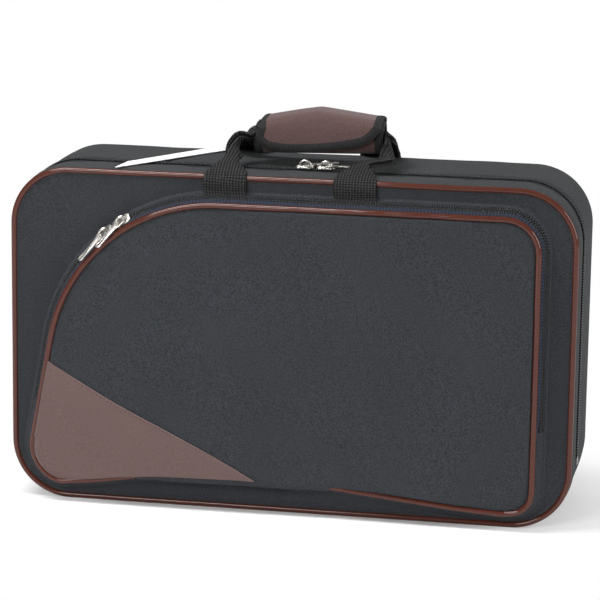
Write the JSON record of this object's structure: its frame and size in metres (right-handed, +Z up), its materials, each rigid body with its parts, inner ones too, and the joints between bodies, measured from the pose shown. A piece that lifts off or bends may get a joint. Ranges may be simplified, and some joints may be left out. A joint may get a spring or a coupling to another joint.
{
  "type": "clarinet case",
  "caption": "Soft zipped case for paired clarinets, standing on its long edge, with a front pocket, webbing handles and a padded handle wrap.",
  "frame": {"origin": "on the resting face of the rear shell, midway along the case, where the case stands on the floor", "axes": "+X along the case's length, to the right as the pocket is faced; +Y from the pocket side to the back; +Z up"},
  "size_m": [0.4058, 0.1284, 0.2843],
  "materials": {
    "shell_cloth": "matte",
    "side_cloth": "matte",
    "pocket_cloth": "matte",
    "brown_piping": "gloss",
    "black_welt": "matte",
    "black_tape": "matte",
    "navy_tape": "matte",
    "zip_teeth": "satin",
    "foam": "matte",
    "plush": "matte",
    "suede": "matte",
    "wrap_suede": "matte",
    "black_webbing": "matte",
    "binding_tape": "matte",
    "hook_and_loop": "matte",
    "slider_metal": "satin",
    "pull_metal": "satin",
    "card": "matte",
    "tag_pin_plastic": "satin"
  },
  "bodies": {
    "base": {"base_side_band": "side_cloth", "base_zip_tape": "black_tape", "base_zip_coil": "zip_teeth", "base_foam_shell": "foam", "base_lining": "plush", "back_panel": "shell_cloth", "rear_welt": "black_welt", "zip_end_stops": "slider_metal", "row_divider_1": "plush", "row_divider_2": "plush", "row_divider_3": "plush", "column_divider": "plush", "bell_divider_lower": "plush", "bell_divider_upper": "plush", "rear_anchor_left": "black_webbing", "rear_anchor_right": "black_webbing", "tag_pin": "tag_pin_plastic"},
    "lid": {"lid_side_band": "side_cloth", "lid_zip_tape": "black_tape", "lid_zip_coil": "zip_teeth", "lid_foam_shell": "foam", "lid_lining": "plush", "front_panel": "shell_cloth", "front_piping": "brown_piping", "front_anchor_left": "black_webbing", "front_anchor_right": "black_webbing", "pocket_coil_outer": "zip_teeth", "pocket_outer_tape": "navy_tape"},
    "pocket": {"pocket_panel": "pocket_cloth", "pocket_piping": "brown_piping", "pocket_gusset": "navy_tape", "pocket_coil_inner": "zip_teeth", "corner_patch": "suede"},
    "front_handle": {"front_webbing": "black_webbing", "wrap_pad": "wrap_suede", "wrap_end_bindings": "binding_tape", "wrap_loop_strip": "hook_and_loop"},
    "wrap_flap": {"wrap_flap": "wrap_suede", "flap_binding": "binding_tape", "flap_hook_strip": "hook_and_loop"},
    "rear_handle": {"rear_webbing": "black_webbing"},
    "main_slider_left": {"main_slider_left": "slider_metal"},
    "main_slider_right": {"main_slider_right": "slider_metal"},
    "main_pull_left": {"main_pull_left": "pull_metal"},
    "main_pull_right": {"main_pull_right": "pull_metal"},
    "pocket_slider_upper": {"pocket_slider_upper": "slider_metal"},
    "pocket_slider_lower": {"pocket_slider_lower": "slider_metal"},
    "pocket_pull_upper": {"pocket_pull_upper": "pull_metal"},
    "pocket_pull_lower": {"pocket_pull_lower": "pull_metal"},
    "accessory_lid": {"accessory_lid": "plush", "accessory_lid_tab": "black_webbing"},
    "hang_tag": {"hang_tag": "card"}
  },
  "joints": [
    {"name": "lid_hinge", "type": "hinge", "parent": "base", "child": "lid", "pos_m": [0, -0.016, 0], "axis": [1, 0, 0], "range_deg": [0, 175]},
    {"name": "pocket_hinge", "type": "hinge", "parent": "lid", "child": "pocket", "pos_m": [0, -0.05503, 0.012], "axis": [1, 0, 0], "range_deg": [0, 50]},
    {"name": "front_handle_swing", "type": "hinge", "parent": "lid", "child": "front_handle", "pos_m": [0, -0.0543, 0.241], "axis": [1, 0, 0], "range_deg": [0, 185]},
    {"name": "wrap_flap_hinge", "type": "hinge", "parent": "front_handle", "child": "wrap_flap", "pos_m": [0, 0.012, 0.282], "axis": [-1, 0, 0], "range_deg": [0, 150]},
    {"name": "rear_handle_swing", "type": "hinge", "parent": "base", "child": "rear_handle", "pos_m": [0, 0.055, 0.241], "axis": [-1, 0, 0], "range_deg": [0, 185]},
    {"name": "main_slider_left_run", "type": "slide", "parent": "base", "child": "main_slider_left", "axis": [-1, 0, 0], "range_m": [0, 0.088]},
    {"name": "main_slider_right_run", "type": "slide", "parent": "base", "child": "main_slider_right", "axis": [1, 0, 0], "range_m": [0, 0.134]},
    {"name": "main_pull_left_swing", "type": "hinge", "parent": "main_slider_left", "child": "main_pull_left", "pos_m": [0.0035, -0.016, 0.2454], "axis": [0.5736, -0.8192, 0], "range_deg": [0, 12]},
    {"name": "main_pull_right_swing", "type": "hinge", "parent": "main_slider_right", "child": "main_pull_right", "pos_m": [0.0185, -0.016, 0.2454], "axis": [0, -1, 0], "range_deg": [0, 150]},
    {"name": "pocket_slider_upper_run", "type": "hinge", "parent": "pocket", "child": "pocket_slider_upper", "pos_m": [-0.049, -0.055, 0.0985], "axis": [0, 1, 0], "range_deg": [0, 22]},
    {"name": "pocket_slider_lower_run", "type": "hinge", "parent": "pocket", "child": "pocket_slider_lower", "pos_m": [-0.049, -0.055, 0.0985], "axis": [0, -1, 0], "range_deg": [0, 36]},
    {"name": "pocket_pull_upper_swing", "type": "hinge", "parent": "pocket_slider_upper", "child": "pocket_pull_upper", "pos_m": [-0.12029, -0.05658, 0.20744], "axis": [-0.7986, 0.5895, 0.1213], "range_deg": [0, 130]},
    {"name": "pocket_pull_lower_swing", "type": "hinge", "parent": "pocket_slider_lower", "child": "pocket_pull_lower", "pos_m": [-0.13269, -0.05658, 0.19824], "axis": [-0.7256, 0.6634, 0.1827], "range_deg": [0, 125]},
    {"name": "accessory_lid_hinge", "type": "hinge", "parent": "base", "child": "accessory_lid", "pos_m": [0.137, -0.006, 0.1356], "axis": [-1, 0, 0], "range_deg": [0, 95]},
    {"name": "hang_tag_turn", "type": "hinge", "parent": "base", "child": "hang_tag", "pos_m": [-0.068, 0.044, 0.2437], "axis": [0, 0, 1], "range_deg": [-20, 6]}
  ]
}
